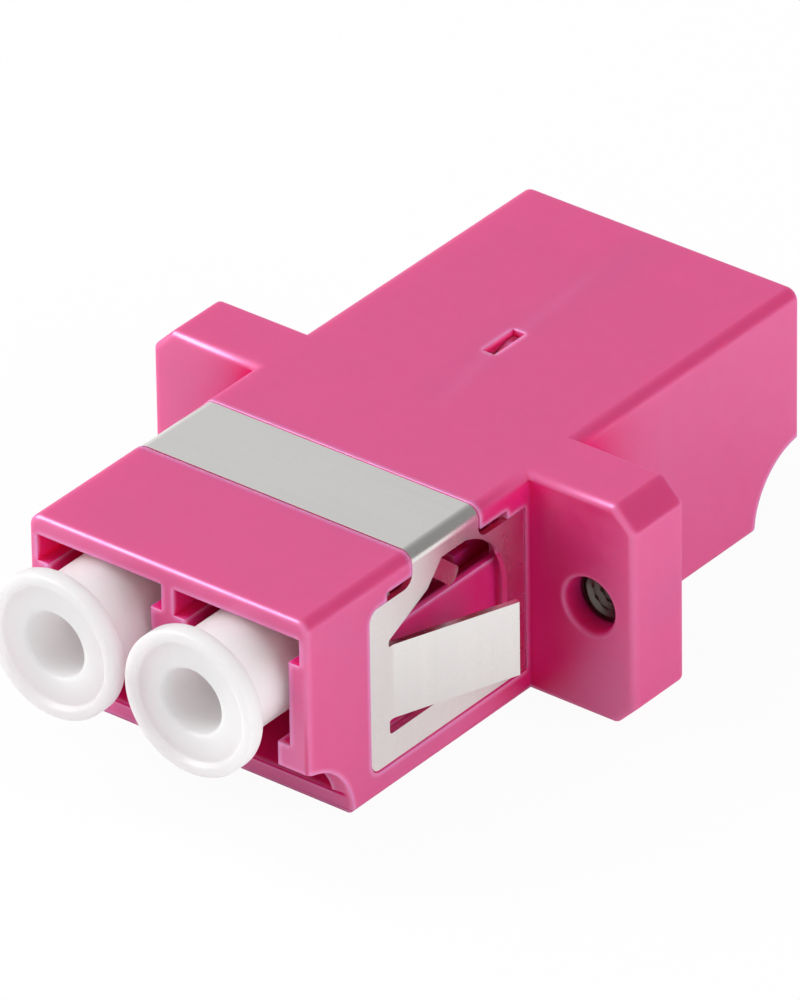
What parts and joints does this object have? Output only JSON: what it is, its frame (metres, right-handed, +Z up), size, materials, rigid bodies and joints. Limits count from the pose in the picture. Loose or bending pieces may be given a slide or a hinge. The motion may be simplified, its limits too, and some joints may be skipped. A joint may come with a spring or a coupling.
{
  "type": "duplex lc fibre adapter",
  "caption": "Coupler for two fibre plugs with a screw flange, a folded spring clip with side leaves, thumb scoops under both ends and dust caps in the front ports.",
  "frame": {"origin": "middle of the flat underside, in the plane of the flange's front face where a panel seats", "axes": "+X across both ports, +Y along the plug direction from the capped front end to the open rear end, +Z up, away from the latch side"},
  "size_m": [0.022, 0.0319, 0.0092],
  "materials": {
    "housing_plastic": "moulded, satin",
    "retainer_plastic": "moulded, satin",
    "spring_steel": "rolled sheet, satin",
    "ceramic": "ground zirconia",
    "plated_brass": "turned, nickel plated",
    "cap_plastic": "moulded, satin"
  },
  "bodies": {
    "adapter": {"housing": "housing_plastic", "sleeve_retainer": "retainer_plastic", "mounting_clip": "spring_steel", "alignment_sleeve_left": "ceramic", "alignment_sleeve_right": "ceramic", "threaded_insert_left": "plated_brass", "threaded_insert_right": "plated_brass"},
    "cap_left": {"dust_cap_left": "cap_plastic"},
    "cap_right": {"dust_cap_right": "cap_plastic"}
  },
  "joints": [
    {"name": "cap_left_pull", "type": "slide", "parent": "adapter", "child": "cap_left", "axis": [0, -1, 0], "range_m": [0, 0.012]},
    {"name": "cap_right_pull", "type": "slide", "parent": "adapter", "child": "cap_right", "axis": [0, -1, 0], "range_m": [0, 0.012]}
  ]
}
